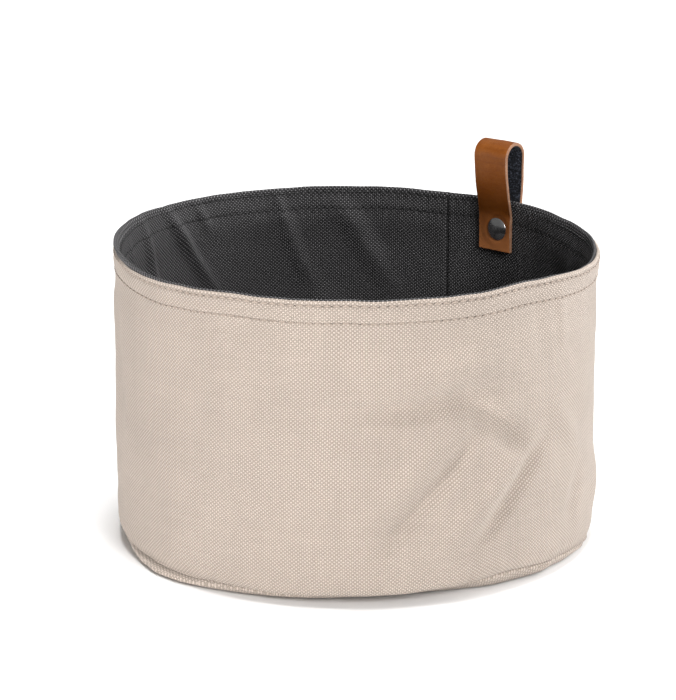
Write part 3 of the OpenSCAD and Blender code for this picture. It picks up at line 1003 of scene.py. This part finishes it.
def leather_loop():
    """The strap: its section taken along its line, squeezed by the rivet, waved and rounded off."""
    line = strap_line()
    section = strap_section()
    ahead = np.gradient(line, axis=0)
    ahead = ahead / np.linalg.norm(ahead, axis=1, keepdims=True)
    left = np.stack([-ahead[:, 1], ahead[:, 0]], -1)
    lengths = np.concatenate([[0], np.cumsum(np.linalg.norm(np.diff(line, axis=0), axis=1))])
    to_end = np.minimum(lengths, lengths[-1] - lengths)[:, None]
    s = lengths[:, None]
    across = np.array([p[0] for p in section])[None, :]
    thick = np.array([p[1] for p in section])[None, :]

    from_rivet = np.hypot(across + STRAP_X, to_end - (RIVET_Z - strap_low.z))
    grain_side = np.clip(thick / (LEATHER / 2), 0, 1)
    swell = 0.34 * MM * hump(from_rivet - (CAP_R + 2.2 * MM), 3.6 * MM)
    for size, along, sideways in LEATHER_WAVES:
        swell = swell + size * MM * np.sin(s / (along * MM) + across / (sideways * MM))
    flat_under_cap = ramp(from_rivet, CAP_R - 0.4 * MM, CAP_R + 1.2 * MM)
    near_end = np.clip(SOFT_EDGE - to_end, 0, None)
    rounded_end = SOFT_EDGE - np.sqrt(np.clip(SOFT_EDGE ** 2 - near_end ** 2, 0, None))
    squeeze = 1 - rounded_end / (LEATHER / 2)
    narrow = 1 - rounded_end / (STRAP_W / 2)
    edge_wave = 1 + 0.008 * np.sin(s / (7.3 * MM)) + 0.005 * np.sin(s / (2.9 * MM) + 1.3)
    depth = thick * squeeze + grain_side * swell * flat_under_cap
    x = STRAP_X + across * narrow * edge_wave
    y = line[:, 0:1] + left[:, 0:1] * depth
    z = line[:, 1:2] + left[:, 1:2] * depth
    points = np.stack(np.broadcast_arrays(x, y, z), -1)

    count = len(section)
    faces = grid_faces(len(line), count, False)
    faces.append(tuple(range(count - 1, -1, -1)))
    faces.append(tuple((len(line) - 1) * count + k for k in range(count)))
    piece = add_mesh("leather_strap", points, faces, leather_grain("leather_grain"))
    piece.data.materials.append(leather_edge("leather_cut_edge"))
    piece.data.materials.append(leather_flesh("leather_flesh_side"))
    kinds = [point[2] for point in section]
    after = kinds[1:] + kinds[:1]
    kinds = [CUT_EDGE if CUT_EDGE in pair else pair[0] for pair in zip(kinds, after)]
    numbers = kinds * (len(line) - 1) + [CUT_EDGE, CUT_EDGE]
    piece.data.polygons.foreach_set("material_index", numbers)
    face_outwards(piece)
    return piece


loop = leather_loop()
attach(loop, "loop")
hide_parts("leather_loop")


# --- the rivet ---
def lathe(name, outline, base_y, direction, material, segments=96):
    """Turns an outline of (radius, height) about the rivet's axis, which runs along Y."""
    outline = np.array(outline)
    angles = np.arange(segments) * 2 * math.pi / segments
    r = outline[:, 0:1]
    x = r * np.cos(angles)
    z = r * np.sin(angles) + RIVET_Z
    y = base_y + direction * outline[:, 1:2] + 0 * x
    points = np.stack([x, y, z], -1).reshape(-1, 3)
    faces = grid_faces(len(outline), segments, False)
    last = (len(outline) - 1) * segments
    faces.append(tuple(range(segments - 1, -1, -1)))
    faces.append(tuple(last + k for k in range(segments)))
    piece = add_mesh(name, points, faces, material)
    face_outwards(piece)
    return piece


def cap_outline():
    """Half outline of a cap: flat back, rolled edge, low dome."""
    edge = 0.32 * MM
    rise = CAP_H - 2 * edge
    dome_r = (CAP_R ** 2 + rise ** 2) / (2 * rise)
    widest = math.asin((CAP_R - 0.3 * edge) / dome_r)
    rolled = [
        (CAP_R - edge + edge * math.cos(a), edge + edge * math.sin(a))
        for a in np.linspace(-math.pi / 2, 0.9, 8)]
    lift = rolled[-1][1] - dome_r * math.cos(widest)
    dome = [(dome_r * math.sin(a), lift + dome_r * math.cos(a)) for a in np.linspace(widest, 0.02, 18)[1:]]
    top = dome[-1][1]
    scale = CAP_H / top
    return [(r, h * scale) for r, h in rolled + dome]


POST_R = 1.9 * MM
PINHOLE = 0.02 * MM   # radius of the small flat that closes an outline at the axis


def rivet():
    metal = rivet_metal("gunmetal")
    outline = [(PINHOLE, 0)] + cap_outline()
    socket_cap = lathe("rivet_outer_cap", outline, CAP_OUT_Y, 1, metal)
    post_length = post_high.y - CAP_IN_Y
    with_post = [(PINHOLE, -post_length), (POST_R, -post_length), (POST_R, 0)] + cap_outline()
    post_cap = lathe("rivet_inner_cap", with_post, CAP_IN_Y, -1, metal)
    for piece, node in ((post_cap, "rivet_post_cap"), (socket_cap, "rivet_socket_cap")):
        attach(piece, "bin")
        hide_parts(node)


rivet()


# --- floor, light and camera ---
FLOOR_HALF = 8.0
# (name, to the camera's right, towards the camera, height, size, watts)
LIGHTS = [
    ("right", 1.65, -0.75, 0.9, 1.2, 24),
    ("left", -1.6, 1.2, 0.10, 0.2, 27),
    ("front", 1.0, 1.9, 1.25, 1.0, 36),
]
CAMERA_DISTANCE = 1.6
CAMERA_ELEVATION = math.radians(16)
LENS = 162.8
AIM_LEFT = 0.0089   # how far the camera aims to the left of the bin's middle
AIM_UP = 0.0178   # and above it


def floor():
    points = [(x * FLOOR_HALF, y * FLOOR_HALF, 0) for x, y in ((-1, -1), (1, -1), (1, 1), (-1, 1))]
    piece = add_mesh("floor", points, [(0, 1, 2, 3)], floor_material("pale_paper"), smooth=False)


def look_at(thing, target):
    thing.rotation_euler = (Vector(target) - thing.location).to_track_quat("-Z", "Y").to_euler()


def area_light(name, to_right, to_front, height, size, watts):
    light = bpy.data.lights.new(name, "AREA")
    light.shape = "DISK"
    light.size = size
    light.energy = watts
    holder = bpy.data.objects.new(name, light)
    holder.location = RIGHT * to_right + FRONT * to_front + Vector((0, 0, height))
    bpy.context.scene.collection.objects.link(holder)
    look_at(holder, (0, 0, RIM_Z / 2))


def overhead_light(strength):
    """A wide soft light from straight above."""
    light = bpy.data.lights.new("overhead", "SUN")
    light.energy = strength
    light.angle = math.radians(14)
    holder = bpy.data.objects.new("overhead", light)
    holder.location = (0, 0, 3)
    bpy.context.scene.collection.objects.link(holder)


def surroundings(left, right):
    """Soft white light all round, stronger from the right than from the left."""
    world = bpy.data.worlds.new("studio")
    world.use_nodes = True
    tree = world.node_tree
    direction = add_node(tree, "ShaderNodeTexCoord").outputs["Generated"]
    both = {0: direction, 1: tuple(RIGHT)}
    towards = add_node(tree, "ShaderNodeVectorMath", both, operation="DOT_PRODUCT").outputs["Value"]
    strength = grade(tree, towards, -0.7, 0.7, left, right)
    tree.links.new(strength, tree.nodes["Background"].inputs["Strength"])
    tree.nodes["Background"].inputs["Color"].default_value = (1, 1, 1, 1)
    bpy.context.scene.world = world


def camera():
    data = bpy.data.cameras.new("camera")
    data.sensor_fit = "HORIZONTAL"
    data.sensor_width = 36
    data.lens = LENS
    data.clip_end = 50
    holder = bpy.data.objects.new("camera", data)
    bpy.context.scene.collection.objects.link(holder)
    back = FRONT * math.cos(CAMERA_ELEVATION) + Vector((0, 0, math.sin(CAMERA_ELEVATION)))
    up = Vector((0, 0, math.cos(CAMERA_ELEVATION))) - FRONT * math.sin(CAMERA_ELEVATION)
    aim = Vector((0, 0, RIM_Z / 2)) - RIGHT * AIM_LEFT + up * AIM_UP
    holder.location = aim + back * CAMERA_DISTANCE
    look_at(holder, aim)
    bpy.context.scene.camera = holder


floor()
surroundings(0.17, 0.52)
for name, to_right, to_front, height, size, watts in LIGHTS:
    area_light(name, to_right, to_front, height, size, watts)
overhead_light(2.5)
camera()
bpy.context.scene.view_settings.view_transform = "Standard"
